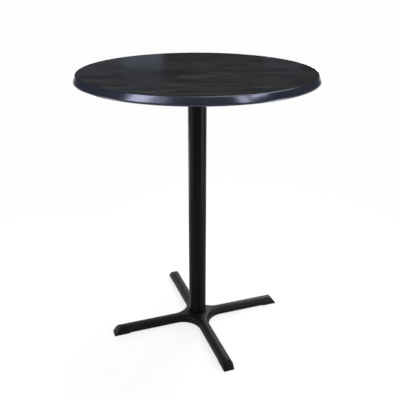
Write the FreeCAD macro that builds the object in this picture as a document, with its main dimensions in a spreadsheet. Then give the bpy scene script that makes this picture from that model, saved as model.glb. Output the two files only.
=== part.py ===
import FreeCAD, Part
import math
import os
import Sketcher

# Round bar-height table on a cross base. Millimetres, +Z up.
# The origin is on the floor under the column, and the four base arms lie along X and Y.

SIZES = {
    # Table top
    "table_height": 1100.0,
    "top_diameter": 914.4,
    "core_thickness": 22.0,
    "sheet_thickness": 1.0,
    "glue_gap": 0.1,
    # Edge band, in section
    "rim_height": 28.6,
    "rim_lean": 12.2,
    "rim_lip": 4.0,
    "rim_flat": 2.0,
    "rim_corner_radius": 3.0,
    "rim_bead_radius": 5.0,
    "tongue_depth": 8.0,
    "tongue_thickness": 5.0,
    # Fasteners that hold the top
    "screw_radius": 3.0,
    "screw_engagement": 8.0,
    "screw_head_lip": 3.0,
    "screw_head_height": 3.5,
    "screw_recess_radius": 2.0,
    "screw_recess_depth": 2.0,
    "insert_wall": 2.0,
    "insert_length": 13.0,
    "insert_room": 2.0,
    "small_washer_lip": 2.0,
    "small_washer_thickness": 1.5,
    "thread_clearance": 0.05,
    "hole_clearance": 0.4,
    "screw_inset": 25.0,
    "screw_spacing": 55.0,
    # Spider between column and top
    "spider_reach": 205.0,
    "spider_arm_width": 46.0,
    "spider_thickness": 6.0,
    "spider_blend_radius": 24.0,
    "spider_tip_radius": 15.0,
    "spider_rib_thickness": 9.0,
    "spider_rib_end_gap": 12.0,
    "spider_rib_end_height": 4.0,
    "socket_depth": 18.0,
    "socket_wall": 7.0,
    "socket_clearance": 0.3,
    "spider_web": 9.0,
    # Column and tie rod
    "column_diameter": 73.0,
    "column_wall": 2.0,
    "rod_radius": 6.0,
    "rod_stand_out": 3.0,
    "rod_chamfer": 1.0,
    "rod_floor_gap": 5.0,
    "nut_wall": 3.5,
    "nut_height": 10.8,
    "nut_room": 1.5,
    "washer_lip": 3.0,
    "washer_thickness": 2.5,
    "lock_washer_lip": 1.0,
    "lock_washer_thickness": 3.0,
    "lock_washer_slit": 1.5,
    # Base casting
    "base_reach": 381.0,
    "arm_width": 44.0,
    "arm_top": 35.0,
    "arm_clearance": 5.0,
    "pad_clearance": 1.5,
    "pad_length": 63.0,
    "pad_slope": 8.0,
    "arm_crown_radius": 18.0,
    "arm_blend_radius": 80.0,
    "tip_inset": 25.0,
    "arm_wall": 8.0,
    "collar_height": 4.0,
    "collar_wall": 5.0,
    "collar_chamfer": 1.5,
    # Levellers
    "leveler_inset": 36.0,
    "foot_radius": 13.0,
    "foot_roof": 1.4,
    "foot_edge": 1.0,
    "foot_room": 1.5,
    "stud_radius": 4.0,
    "stud_cover": 6.0,
    "stud_end_room": 1.0,
    "stud_chamfer": 0.8,
    "stud_hex_wall": 2.5,
    "stud_hex_height": 4.0,
    "stud_stop_gap": 0.2,
    "swivel_lip": 1.5,
    "swivel_height": 2.5,
    "swivel_floor": 2.0,
    "swivel_clearance": 0.08,
    # Length by which cuts run past the solid
    "overrun": 5.0,
}

ARM_COUNT = 4
FULL_TURN = 360.0
HEX_SIDES = 6
HEX_HALF_ANGLE = FULL_TURN / HEX_SIDES / 2
NUT_CHAMFER_ANGLE = 30.0

# Levels and radii that several pieces share, as expressions of the named sizes.
# Table top
TOP_RADIUS = "(dims.top_diameter / 2)"
CORE_RADIUS = f"({TOP_RADIUS} - dims.rim_lean - dims.rim_lip)"
CORE_TOP = "(dims.table_height - dims.sheet_thickness)"
CORE_BOTTOM = f"({CORE_TOP} - dims.core_thickness)"
UNDERSIDE = f"({CORE_BOTTOM} - dims.sheet_thickness)"
TONGUE_LOW = f"({CORE_BOTTOM} + (dims.core_thickness - dims.tongue_thickness) / 2)"
TONGUE_HIGH = f"({TONGUE_LOW} + dims.tongue_thickness)"

# Fasteners that hold the top
OUTER_SCREW_PLACE = "(dims.spider_reach - dims.screw_inset)"
INNER_SCREW_PLACE = f"({OUTER_SCREW_PLACE} - dims.screw_spacing)"
SCREW_HEAD_RADIUS = "(dims.screw_radius + dims.screw_head_lip)"
SMALL_WASHER_RADIUS = f"({SCREW_HEAD_RADIUS} + dims.small_washer_lip)"
INSERT_BORE = "(dims.screw_radius + dims.thread_clearance)"
INSERT_RADIUS = f"({INSERT_BORE} + dims.insert_wall)"
INSERT_HOLE = f"({INSERT_RADIUS} + dims.thread_clearance)"
SCREW_HOLE = "(dims.screw_radius + dims.hole_clearance)"
SCREW_PLACES = {"inner": INNER_SCREW_PLACE, "outer": OUTER_SCREW_PLACE}

# Tie rod with its nuts and washers
NUT_FLATS = "(2 * (dims.rod_radius + dims.nut_wall))"
NUT_BORE = "(dims.rod_radius + dims.thread_clearance)"
ROD_HOLE = "(dims.rod_radius + dims.hole_clearance)"
WASHER_RADIUS = f"({NUT_FLATS} / 2 / cos({HEX_HALF_ANGLE} deg) + dims.washer_lip)"
LOCK_WASHER_RADIUS = f"({NUT_FLATS} / 2 + dims.lock_washer_lip)"
BOTTOM_NUT_LOW = "(dims.rod_floor_gap + dims.rod_stand_out)"
BOTTOM_NUT_TOP = f"({BOTTOM_NUT_LOW} + dims.nut_height)"
LOCK_WASHER_TOP = f"({BOTTOM_NUT_TOP} + dims.lock_washer_thickness)"
BASE_WEB_FACE = f"({LOCK_WASHER_TOP} + dims.washer_thickness)"

# Spider and column
SPIDER_FACE = f"({UNDERSIDE} - dims.spider_thickness)"
NUT_RECESS_RADIUS = f"({WASHER_RADIUS} + dims.nut_room)"
NUT_RECESS_DEPTH = "(dims.washer_thickness + dims.nut_height + dims.rod_stand_out + dims.nut_room)"
SPIDER_WEB_TOP = f"({UNDERSIDE} - {NUT_RECESS_DEPTH})"
TOP_NUT_LOW = f"({SPIDER_WEB_TOP} + dims.washer_thickness)"
COLUMN_TOP = f"({SPIDER_WEB_TOP} - dims.spider_web)"
SOCKET_MOUTH = f"({COLUMN_TOP} - dims.socket_depth)"
COLUMN_RADIUS = "(dims.column_diameter / 2)"
SOCKET_RADIUS = f"({COLUMN_RADIUS} + dims.socket_clearance)"
HUB_RADIUS = f"({SOCKET_RADIUS} + dims.socket_wall)"

# Base arms and levellers
ARM_HALF = "(dims.arm_width / 2)"
LONG_REACH = "(dims.base_reach + dims.overrun)"
PAD_START = "(dims.base_reach - dims.pad_length)"
LEVELER_PLACE = "(dims.base_reach - dims.leveler_inset)"
SEAT_RADIUS = "(dims.foot_radius + dims.foot_room)"
SWIVEL_RADIUS = "(dims.stud_radius + dims.swivel_lip)"
SWIVEL_TOP = "(dims.swivel_floor + dims.swivel_height + 2 * dims.swivel_clearance)"
FOOT_HEIGHT = f"({SWIVEL_TOP} + dims.foot_roof)"
HEX_BOTTOM = f"({FOOT_HEIGHT} + dims.stud_stop_gap)"
HEX_TOP = f"({HEX_BOTTOM} + dims.stud_hex_height)"
SEAT_CEILING = f"({HEX_TOP} + dims.stud_stop_gap)"
STUD_FLATS = "(2 * (dims.stud_radius + dims.stud_hex_wall))"
STUD_HOLE_END = "(dims.arm_top - dims.stud_cover)"
STUD_TOP = f"({STUD_HOLE_END} - dims.stud_end_room)"


def value(expression):
    """Return the number that an expression of the named sizes stands for."""
    result = document.dims.evalExpression(expression)
    return float(getattr(result, "Value", result))


def minus(expression):
    """Return the expression with its sign turned."""
    return f"-({expression})"


def fill_sheet(sheet):
    """Write every named size into the sheet, one row each, with its name as alias."""
    for row, (name, number) in enumerate(SIZES.items(), 1):
        sheet.set(f"A{row}", name)
        sheet.set(f"B{row}", str(number))
        sheet.setAlias(f"B{row}", name)


def origin_feature(body, role):
    """Return the plane or axis of a body's own origin."""
    return next(item for item in body.Origin.OriginFeatures if item.Role == role)


def new_body(name):
    """Add a body whose label names its file."""
    body = document.addObject("PartDesign::Body", name)
    body.Label = name
    body.AllowCompound = True
    return body


def new_sketch(body, name, role, offset_axis=None, offset=None):
    """Add a sketch on one of the body's origin planes, shifted along one sketch axis if asked."""
    sketch = body.newObject("Sketcher::SketchObject", f"{body.Name}_{name}")
    sketch.AttachmentSupport = (origin_feature(body, role), [""])
    sketch.MapMode = "FlatFace"
    if offset_axis:
        sketch.setExpression(f"AttachmentOffset.Base.{offset_axis}", offset)
    return sketch


def pin(sketch, line, x, y):
    """Tie the start of a sketch line to the place given by two expressions."""
    for kind, axis, expression in (("DistanceX", -2, x), ("DistanceY", -1, y)):
        if expression == "0":
            sketch.addConstraint(Sketcher.Constraint("PointOnObject", line, 1, axis))
        else:
            index = sketch.addConstraint(Sketcher.Constraint(kind, -1, 1, line, 1, value(expression)))
            sketch.setExpression(f"Constraints[{index}]", expression)


def draw_outline(sketch, corners):
    """Draw a closed outline through corners given as pairs of expressions."""
    places = [FreeCAD.Vector(value(x), value(y), 0) for x, y in corners]
    first = sketch.GeometryCount
    for start, end in zip(places, places[1:] + places[:1]):
        sketch.addGeometry(Part.LineSegment(start, end), False)
    for index, (x, y) in enumerate(corners):
        before = first + (index - 1) % len(corners)
        sketch.addConstraint(Sketcher.Constraint("Coincident", before, 2, first + index, 1))
        pin(sketch, first + index, x, y)


def draw_circle(sketch, radius):
    """Draw a circle about the sketch origin whose radius is an expression."""
    circle = Part.Circle(FreeCAD.Vector(0, 0, 0), FreeCAD.Vector(0, 0, 1), value(radius))
    geometry = sketch.addGeometry(circle, False)
    sketch.addConstraint(Sketcher.Constraint("Coincident", geometry, 3, -1, 1))
    index = sketch.addConstraint(Sketcher.Constraint("Radius", geometry, value(radius)))
    sketch.setExpression(f"Constraints[{index}]", radius)


def new_feature(body, kind, name):
    """Add a feature named after its body."""
    return body.newObject(f"PartDesign::{kind}", f"{body.Name}_{name}")


def pad(body, name, sketch, length, symmetric=False):
    """Raise a sketch into a solid, upward or evenly to both sides of its plane."""
    feature = new_feature(body, "Pad", name)
    feature.Profile = sketch
    feature.setExpression("Length", length)
    if symmetric:
        feature.SideType = "Symmetric"
    document.recompute()
    return feature


def require_cut(feature, volume_before):
    """Stop if a cutting feature has taken nothing away."""
    if feature.Shape.Volume >= volume_before:
        raise RuntimeError(f"{feature.Name} cuts nothing")


def pocket_down(body, name, sketch):
    """Cut a sketch from its plane downward through everything."""
    before = body.Shape.Volume
    feature = new_feature(body, "Pocket", name)
    feature.Profile = sketch
    feature.Type = "ThroughAll"
    document.recompute()
    require_cut(feature, before)
    return feature


def pocket_across(body, name, sketch, width):
    """Cut a sketch evenly to both sides of its plane."""
    before = body.Shape.Volume
    feature = new_feature(body, "Pocket", name)
    feature.Profile = sketch
    feature.SideType = "Symmetric"
    feature.setExpression("Length", width)
    document.recompute()
    require_cut(feature, before)
    return feature


def turn(body, kind, name, sketch):
    """Turn a sketch about its own vertical axis, to add it or to cut it away."""
    feature = new_feature(body, kind, name)
    feature.Profile = sketch
    feature.ReferenceAxis = (sketch, ["V_Axis"])
    feature.Angle = FULL_TURN
    document.recompute()
    return feature


def add_turned(body, name, corners, place=None):
    """Add a turned solid given by corners (radius, height), about the axis or beside it."""
    sketch = new_sketch(body, f"{name}_section", "XZ_Plane", place and "x", place)
    draw_outline(sketch, corners)
    return turn(body, "Revolution", name, sketch)


def cut_turned(body, name, corners, place=None):
    """Cut a turned shape given by corners (radius, height), about the axis or beside it."""
    before = body.Shape.Volume
    sketch = new_sketch(body, f"{name}_section", "XZ_Plane", place and "x", place)
    draw_outline(sketch, corners)
    feature = turn(body, "Groove", name, sketch)
    require_cut(feature, before)
    return feature


def repeat_round(body, name, features):
    """Repeat features once for every arm about the vertical axis."""
    pattern = new_feature(body, "PolarPattern", name)
    pattern.Originals = features
    pattern.Axis = (origin_feature(body, "Z_Axis"), [""])
    pattern.Angle = FULL_TURN
    pattern.Occurrences = ARM_COUNT
    body.Tip = pattern
    document.recompute()
    return pattern


def dress(body, kind, name, base, size_property, size, test):
    """Add a fillet or chamfer on the edges of a feature that pass a test."""
    edges = [f"Edge{index}" for index, edge in enumerate(base.Shape.Edges, 1) if test(edge)]
    if not edges:
        raise RuntimeError(f"{body.Name}_{name} finds no edges")
    feature = new_feature(body, kind, name)
    feature.Base = (base, edges)
    feature.setExpression(size_property, size)
    document.recompute()
    return feature


def fillet(body, name, base, radius, test):
    """Round the edges of a feature that pass a test."""
    return dress(body, "Fillet", name, base, "Radius", radius, test)


def chamfer(body, name, base, width, test):
    """Bevel the edges of a feature that pass a test."""
    return dress(body, "Chamfer", name, base, "Size", width, test)


def is_ring(edge, radius, height):
    """Tell whether an edge is a level circle of the given radius at the given height."""
    if not isinstance(edge.Curve, Part.Circle):
        return False
    return math.isclose(edge.Curve.Radius, value(radius)) and math.isclose(edge.Curve.Center.z, value(height))


def is_upright(edge):
    """Tell whether an edge is a straight vertical one."""
    return isinstance(edge.Curve, Part.Line) and math.isclose(abs(edge.Curve.Direction.z), 1)


def is_inner_corner(edge, half_width):
    """Tell whether an edge stands upright where two neighbouring arms meet."""
    middle = edge.CenterOfMass
    corner = math.hypot(value(half_width), value(half_width))
    return is_upright(edge) and math.isclose(math.hypot(middle.x, middle.y), corner)


def is_at_reach(edge, reach):
    """Tell whether the middle of an edge lies at the end of an arm."""
    middle = edge.CenterOfMass
    return math.isclose(max(abs(middle.x), abs(middle.y)), value(reach))


def is_level_at(edge, height):
    """Tell whether an edge lies flat at the given height."""
    box = edge.BoundBox
    return math.isclose(box.ZMin, value(height)) and math.isclose(box.ZMax, value(height))


def cross_outline(half_width, reach):
    """Return the corners of a plain cross with arms along both axes."""
    quarter = [(reach, minus(half_width)), (reach, half_width), (half_width, half_width)]
    corners = []
    for _ in range(ARM_COUNT):
        corners += quarter
        quarter = [(minus(y), x) for x, y in quarter]
    return corners


def hexagon(flats):
    """Return the corners of a hexagon of the given width across its flats."""
    corners = []
    for index in range(HEX_SIDES):
        angle = HEX_HALF_ANGLE * (2 * index + 1)
        corner = f"{flats} / 2 / cos({HEX_HALF_ANGLE} deg)"
        corners.append((f"{corner} * cos({angle} deg)", f"{corner} * sin({angle} deg)"))
    return corners


def rectangle(inner, outer, low, high):
    """Return the corners of a section between two radii and two heights."""
    return [(inner, low), (outer, low), (outer, high), (inner, high)]


def make_disc(name, radius, bottom, thickness):
    """Make a plain round sheet or board."""
    body = new_body(name)
    sketch = new_sketch(body, "outline", "XY_Plane", "z", bottom)
    draw_circle(sketch, radius)
    pad(body, "plate", sketch, thickness)
    return body


def cut_screw_holes(body, radius, bottom, top):
    """Drill the screw pattern through a body between two heights."""
    holes = []
    for name, place in SCREW_PLACES.items():
        holes.append(cut_turned(body, f"{name}_hole", rectangle("0", radius, bottom, top), place))
    repeat_round(body, "holes", holes)


def make_fastener_group(name, corners):
    """Make one turned fastener at every place of the screw pattern."""
    body = new_body(name)
    turned = [add_turned(body, place_name, corners, place) for place_name, place in SCREW_PLACES.items()]
    repeat_round(body, "group", turned)
    return body


def make_top_core():
    """Board of the table top, with a groove round its edge and blind holes for the inserts."""
    body = make_disc("top_core", CORE_RADIUS, CORE_BOTTOM, "dims.core_thickness")
    inner = f"{CORE_RADIUS} - dims.tongue_depth"
    outer = f"{CORE_RADIUS} + dims.overrun"
    cut_turned(body, "edge_groove", rectangle(inner, outer, TONGUE_LOW, TONGUE_HIGH))
    hole_top = f"{CORE_BOTTOM} + dims.insert_length + dims.insert_room"
    cut_screw_holes(body, INSERT_HOLE, f"{CORE_BOTTOM} - dims.overrun", hole_top)
    return body


def make_top_sheet():
    """Decor laminate on the core."""
    return make_disc("top_sheet", CORE_RADIUS, CORE_TOP, "dims.sheet_thickness")


def make_underside_sheet():
    """Balancing laminate below the core, with holes where the inserts are."""
    body = make_disc("underside_sheet", CORE_RADIUS, UNDERSIDE, "dims.sheet_thickness")
    cut_screw_holes(body, INSERT_HOLE, f"{UNDERSIDE} - dims.overrun", f"{CORE_BOTTOM} + dims.overrun")
    return body


def make_edge_band():
    """Moulded edge that leans outward to a rounded bead, with a tongue in the core's groove."""
    body = new_body("edge_band")
    inner = f"{CORE_RADIUS} + dims.glue_gap"
    tongue = f"{CORE_RADIUS} - dims.tongue_depth + dims.glue_gap"
    tongue_low = f"{TONGUE_LOW} + dims.glue_gap"
    tongue_high = f"{TONGUE_HIGH} - dims.glue_gap"
    rim_bottom = "dims.table_height - dims.rim_height"
    rim_wide = f"{rim_bottom} + dims.rim_bead_radius + dims.rim_flat"
    rim_top = "dims.table_height"
    shoulder = f"{TOP_RADIUS} - dims.rim_lean"
    corners = [(inner, rim_bottom), (TOP_RADIUS, rim_bottom), (TOP_RADIUS, rim_wide)]
    corners += [(shoulder, rim_top), (inner, rim_top)]
    corners += [(inner, tongue_high), (tongue, tongue_high), (tongue, tongue_low), (inner, tongue_low)]
    band = add_turned(body, "band", corners)
    band = fillet(body, "top_corner", band, "dims.rim_corner_radius",
                  lambda edge: is_ring(edge, shoulder, rim_top))
    fillet(body, "bead", band, "dims.rim_bead_radius", lambda edge: is_ring(edge, TOP_RADIUS, rim_bottom))
    return body


def make_threaded_inserts():
    """Steel inserts in the core that take the screws."""
    top = f"{CORE_BOTTOM} + dims.insert_length"
    return make_fastener_group("threaded_inserts", rectangle(INSERT_BORE, INSERT_RADIUS, CORE_BOTTOM, top))


def make_spider_screws():
    """Machine screws with a round head and a drive recess, put in from below."""
    head_top = f"{SPIDER_FACE} - dims.small_washer_thickness"
    head_low = f"{head_top} - dims.screw_head_height"
    recess = f"{head_low} + dims.screw_recess_depth"
    shank_end = f"{CORE_BOTTOM} + dims.screw_engagement"
    corners = [("0", recess), ("dims.screw_recess_radius", recess), ("dims.screw_recess_radius", head_low)]
    corners += [(SCREW_HEAD_RADIUS, head_low), (SCREW_HEAD_RADIUS, head_top)]
    corners += [("dims.screw_radius", head_top), ("dims.screw_radius", shank_end), ("0", shank_end)]
    return make_fastener_group("spider_screws", corners)


def make_spider_washers():
    """Flat washers between the screw heads and the spider."""
    low = f"{SPIDER_FACE} - dims.small_washer_thickness"
    return make_fastener_group("spider_washers", rectangle(SCREW_HOLE, SMALL_WASHER_RADIUS, low, SPIDER_FACE))


def make_spider():
    """Four-armed casting that joins the column to the top, with a socket below and a nut recess above."""
    body = new_body("spider")
    half_width = "dims.spider_arm_width / 2"
    sketch = new_sketch(body, "outline", "XY_Plane", "z", SPIDER_FACE)
    draw_outline(sketch, cross_outline(half_width, "dims.spider_reach"))
    plate = pad(body, "plate", sketch, "dims.spider_thickness")
    plate = fillet(body, "blend", plate, "dims.spider_blend_radius",
                   lambda edge: is_inner_corner(edge, half_width))
    fillet(body, "tips", plate, "dims.spider_tip_radius",
           lambda edge: is_upright(edge) and is_at_reach(edge, "dims.spider_reach"))
    add_turned(body, "hub", rectangle("0", HUB_RADIUS, SOCKET_MOUTH, UNDERSIDE))
    add_spider_ribs(body)
    above = f"{UNDERSIDE} + dims.overrun"
    below = f"{SOCKET_MOUTH} - dims.overrun"
    bore = [("0", below), (SOCKET_RADIUS, below), (SOCKET_RADIUS, COLUMN_TOP), (ROD_HOLE, COLUMN_TOP)]
    bore += [(ROD_HOLE, SPIDER_WEB_TOP), (NUT_RECESS_RADIUS, SPIDER_WEB_TOP)]
    bore += [(NUT_RECESS_RADIUS, above), ("0", above)]
    cut_turned(body, "bore", bore)
    cut_screw_holes(body, SCREW_HOLE, f"{SPIDER_FACE} - dims.overrun", above)
    return body


def add_spider_ribs(body):
    """Run a tapering rib out from the hub under each spider arm, short of the screws."""
    end = f"{INNER_SCREW_PLACE} - {SMALL_WASHER_RADIUS} - dims.spider_rib_end_gap"
    low = f"{SPIDER_FACE} - dims.spider_rib_end_height"
    high = f"{SPIDER_FACE} + dims.spider_thickness / 2"
    sketch = new_sketch(body, "rib_side", "XZ_Plane")
    side = [("0", SOCKET_MOUTH), (HUB_RADIUS, SOCKET_MOUTH), (end, low), (end, high), ("0", high)]
    draw_outline(sketch, side)
    rib = pad(body, "rib", sketch, "dims.spider_rib_thickness", symmetric=True)
    repeat_round(body, "ribs", [rib])


def make_tube(name, outer, inner, bottom, length):
    """Make a straight tube or flat ring about the vertical axis."""
    body = new_body(name)
    sketch = new_sketch(body, "ring", "XY_Plane", "z", bottom)
    draw_circle(sketch, outer)
    draw_circle(sketch, inner)
    pad(body, "tube", sketch, length)
    return body


def make_column():
    """Tube that stands in the base collar and reaches into the spider socket."""
    inner = f"{COLUMN_RADIUS} - dims.column_wall"
    return make_tube("column", COLUMN_RADIUS, inner, "dims.arm_top", f"{COLUMN_TOP} - dims.arm_top")


def make_tie_rod():
    """Rod through base, column and spider, standing out past both nuts."""
    body = new_body("tie_rod")
    low = f"{BOTTOM_NUT_LOW} - dims.rod_stand_out"
    high = f"{TOP_NUT_LOW} + dims.nut_height + dims.rod_stand_out"
    rod = add_turned(body, "shank", rectangle("0", "dims.rod_radius", low, high))
    chamfer(body, "ends", rod, "dims.rod_chamfer", lambda edge: isinstance(edge.Curve, Part.Circle))
    return body


def make_washer(name, bottom):
    """Flat washer on the tie rod."""
    return make_tube(name, WASHER_RADIUS, ROD_HOLE, bottom, "dims.washer_thickness")


def make_lock_washer():
    """Split ring above the lower nut."""
    body = make_tube("tie_rod_lock_washer", LOCK_WASHER_RADIUS, NUT_BORE, BOTTOM_NUT_TOP,
                     "dims.lock_washer_thickness")
    sketch = new_sketch(body, "slit", "XY_Plane", "z", f"{LOCK_WASHER_TOP} + dims.overrun")
    half = "dims.lock_washer_slit / 2"
    draw_outline(sketch, rectangle("0", f"{LOCK_WASHER_RADIUS} + dims.overrun", minus(half), half))
    pocket_down(body, "split", sketch)
    return body


def make_nut(name, bottom):
    """Hexagon nut on the tie rod with its corners turned off at both faces."""
    body = new_body(name)
    sketch = new_sketch(body, "hexagon", "XY_Plane", "z", bottom)
    draw_outline(sketch, hexagon(NUT_FLATS))
    draw_circle(sketch, NUT_BORE)
    pad(body, "prism", sketch, "dims.nut_height")
    top = f"{bottom} + dims.nut_height"
    inner = f"{NUT_FLATS} / 2"
    rise = f"({NUT_FLATS} / 2 * tan({NUT_CHAMFER_ANGLE} deg))"
    for end, face, slope in (("low", bottom, rise), ("high", top, minus(rise))):
        corners = [(inner, face), (NUT_FLATS, f"{face} + {slope}"), (NUT_FLATS, face)]
        cut_turned(body, f"{end}_corners", corners)
    return body


def make_clamp_hardware():
    """Make the washers and nuts at both ends of the tie rod."""
    return [
        make_washer("tie_rod_top_washer", SPIDER_WEB_TOP),
        make_nut("tie_rod_top_nut", TOP_NUT_LOW),
        make_washer("tie_rod_bottom_washer", LOCK_WASHER_TOP),
        make_lock_washer(),
        make_nut("tie_rod_bottom_nut", BOTTOM_NUT_LOW),
    ]


def make_base_casting():
    """Cross base: arched arms blended at the hub, bevelled tips on foot pads, hollow below, collar on top."""
    body = new_body("base_casting")
    sketch = new_sketch(body, "outline", "XY_Plane", "z", "dims.pad_clearance")
    draw_outline(sketch, cross_outline(ARM_HALF, LONG_REACH))
    cross = pad(body, "cross", sketch, "dims.arm_top - dims.pad_clearance")
    cross = fillet(body, "blend", cross, "dims.arm_blend_radius",
                   lambda edge: is_inner_corner(edge, ARM_HALF))
    fillet(body, "crown", cross, "dims.arm_crown_radius",
           lambda edge: is_level_at(edge, "dims.arm_top") and not is_at_reach(edge, LONG_REACH))
    bevel_tips(body)
    hollow_arms(body)
    add_collar(body)
    cut_turned(body, "rod_hole", rectangle("0", ROD_HOLE, "0", "dims.arm_top + dims.overrun"))
    cut_leveler_seats(body)
    return body


def bevel_tips(body):
    """Cut every arm end to a slope, foot outward."""
    sketch = new_sketch(body, "tip_side", "XZ_Plane")
    lean = "dims.tip_inset / (dims.arm_top - dims.pad_clearance) * dims.overrun"
    foot = f"dims.base_reach + {lean}"
    head = f"dims.base_reach - dims.tip_inset - {lean}"
    far = f"{foot} + 2 * dims.overrun"
    low = "dims.pad_clearance - dims.overrun"
    high = "dims.arm_top + dims.overrun"
    draw_outline(sketch, [(foot, low), (far, low), (far, high), (head, high)])
    bevel = pocket_across(body, "tip_bevel", sketch, "dims.arm_width + dims.overrun")
    repeat_round(body, "tip_bevels", [bevel])


def hollow_arms(body):
    """Lift the underside clear of the floor between the foot pads and hollow the casting from below."""
    relief = [("0", "0"), (PAD_START, "0"), (PAD_START, "dims.pad_clearance")]
    relief += [(f"{PAD_START} - dims.pad_slope", "dims.arm_clearance"), ("0", "dims.arm_clearance")]
    cut_turned(body, "relief", relief)
    sketch = new_sketch(body, "hollow_outline", "XY_Plane", "z", BASE_WEB_FACE)
    reach = f"{LEVELER_PLACE} - {SEAT_RADIUS} - dims.arm_wall"
    draw_outline(sketch, cross_outline(f"{ARM_HALF} - dims.arm_wall", reach))
    pocket_down(body, "hollow", sketch)


def add_collar(body):
    """Raise the ring that the foot of the column stands in."""
    outer = f"{SOCKET_RADIUS} + dims.collar_wall"
    low = f"(dims.arm_top + {BASE_WEB_FACE}) / 2"
    top = "dims.arm_top + dims.collar_height"
    collar = add_turned(body, "collar", rectangle(SOCKET_RADIUS, outer, low, top))
    chamfer(body, "collar_edge", collar, "dims.collar_chamfer", lambda edge: is_ring(edge, outer, top))


def cut_leveler_seats(body):
    """Sink a seat for each foot and a blind tapped hole for each stud."""
    hole = "dims.stud_radius + dims.thread_clearance"
    corners = [("0", "0"), (SEAT_RADIUS, "0"), (SEAT_RADIUS, SEAT_CEILING), (hole, SEAT_CEILING)]
    corners += [(hole, STUD_HOLE_END), ("0", STUD_HOLE_END)]
    seat = cut_turned(body, "leveler_seat", corners, LEVELER_PLACE)
    repeat_round(body, "leveler_seats", [seat])


def place_leveler(body, across, along):
    """Move a leveller piece from the axis to its arm tip."""
    body.setExpression("Placement.Base.x", f"{LEVELER_PLACE} * {across}")
    body.setExpression("Placement.Base.y", f"{LEVELER_PLACE} * {along}")


def make_leveler_foot(name, across, along):
    """Round pad with a swivel pocket for the stud's lower flange."""
    body = new_body(name)
    radius = "dims.foot_radius"
    pocket = f"{SWIVEL_RADIUS} + dims.swivel_clearance"
    neck = "dims.stud_radius + dims.swivel_clearance"
    floor = "dims.swivel_floor"
    corners = [("0", "0"), (radius, "0"), (radius, FOOT_HEIGHT), (neck, FOOT_HEIGHT)]
    corners += [(neck, SWIVEL_TOP), (pocket, SWIVEL_TOP), (pocket, floor), ("0", floor)]
    foot = add_turned(body, "pad", corners)
    fillet(body, "edge", foot, "dims.foot_edge", lambda edge: is_ring(edge, radius, FOOT_HEIGHT))
    place_leveler(body, across, along)
    return body


def make_leveler_stud(name, across, along):
    """Threaded stud with a hexagon to turn it by and a flange that swivels in the foot."""
    body = new_body(name)
    radius = "dims.stud_radius"
    flange_low = "dims.swivel_floor + dims.swivel_clearance"
    flange_top = f"{flange_low} + dims.swivel_height"
    corners = [("0", flange_low), (SWIVEL_RADIUS, flange_low), (SWIVEL_RADIUS, flange_top)]
    corners += [(radius, flange_top), (radius, STUD_TOP), ("0", STUD_TOP)]
    shank = add_turned(body, "shank", corners)
    chamfer(body, "end", shank, "dims.stud_chamfer", lambda edge: is_ring(edge, radius, STUD_TOP))
    sketch = new_sketch(body, "hexagon", "XY_Plane", "z", HEX_BOTTOM)
    draw_outline(sketch, hexagon(STUD_FLATS))
    pad(body, "hex", sketch, "dims.stud_hex_height")
    place_leveler(body, across, along)
    return body


def make_levelers():
    """Make a foot and a stud for each arm."""
    pieces = []
    for side, across, along in (("front", 0, -1), ("right", 1, 0), ("back", 0, 1), ("left", -1, 0)):
        pieces.append(make_leveler_foot(f"{side}_leveler_foot", across, along))
        pieces.append(make_leveler_stud(f"{side}_leveler_stud", across, along))
    return pieces


def make_all():
    """Make every piece of the table."""
    pieces = [make_top_core(), make_top_sheet(), make_underside_sheet(), make_edge_band()]
    pieces += [make_threaded_inserts(), make_spider(), make_spider_screws(), make_spider_washers()]
    pieces += [make_column(), make_tie_rod()]
    pieces += make_clamp_hardware()
    pieces.append(make_base_casting())
    pieces += make_levelers()
    return pieces


def check(pieces):
    """Stop if any object has failed or any piece has no valid shape."""
    for item in document.Objects:
        if "Invalid" in item.State or "Error" in item.State:
            raise RuntimeError(f"{item.Label} failed: {item.State}")
    for piece in pieces:
        if piece.Shape.isNull() or not piece.Shape.isValid() or not piece.Shape.Solids:
            raise RuntimeError(f"{piece.Label} has no valid solid")


document = FreeCAD.newDocument("bar_table")
fill_sheet(document.addObject("Spreadsheet::Sheet", "dims"))
document.recompute()
table_pieces = make_all()
document.recompute()
check(table_pieces)
os.makedirs("parts", exist_ok=True)
for table_piece in table_pieces:
    table_piece.Shape.exportStep(f"parts/{table_piece.Label}.step")
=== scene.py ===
import logging
import math
from dataclasses import dataclass
from enum import Enum
from typing import Any, ClassVar, Mapping, Optional, Sequence, Tuple, Union

import bmesh
import bpy
from mathutils import Matrix, Vector


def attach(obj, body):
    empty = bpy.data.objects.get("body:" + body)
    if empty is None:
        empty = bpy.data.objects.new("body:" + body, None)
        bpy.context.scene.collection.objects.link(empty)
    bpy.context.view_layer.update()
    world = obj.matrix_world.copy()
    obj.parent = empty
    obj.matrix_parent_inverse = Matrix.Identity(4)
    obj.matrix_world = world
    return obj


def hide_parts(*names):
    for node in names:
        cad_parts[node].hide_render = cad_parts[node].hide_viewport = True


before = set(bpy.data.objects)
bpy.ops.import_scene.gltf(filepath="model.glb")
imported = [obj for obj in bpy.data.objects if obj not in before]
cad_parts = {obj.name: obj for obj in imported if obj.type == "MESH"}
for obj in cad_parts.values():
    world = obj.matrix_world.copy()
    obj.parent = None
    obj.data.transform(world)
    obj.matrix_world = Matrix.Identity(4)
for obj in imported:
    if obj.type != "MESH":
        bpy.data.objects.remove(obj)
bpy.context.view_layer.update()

# Looks of a round bar-height table: laminated top with a moulded edge, round column, cast cross base.
# Metres, +Z up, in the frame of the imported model. The base arms lie along X and Y.

Colour = Tuple[float, float, float, float]
Triple = Tuple[float, float, float]
Point = Tuple[float, float]
Number = Union["Wire", float]
Verts = Sequence[bmesh.types.BMVert]
Edges = Sequence[bmesh.types.BMEdge]
Geometry = Sequence[Union[bmesh.types.BMVert, bmesh.types.BMEdge, bmesh.types.BMFace]]

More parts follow.
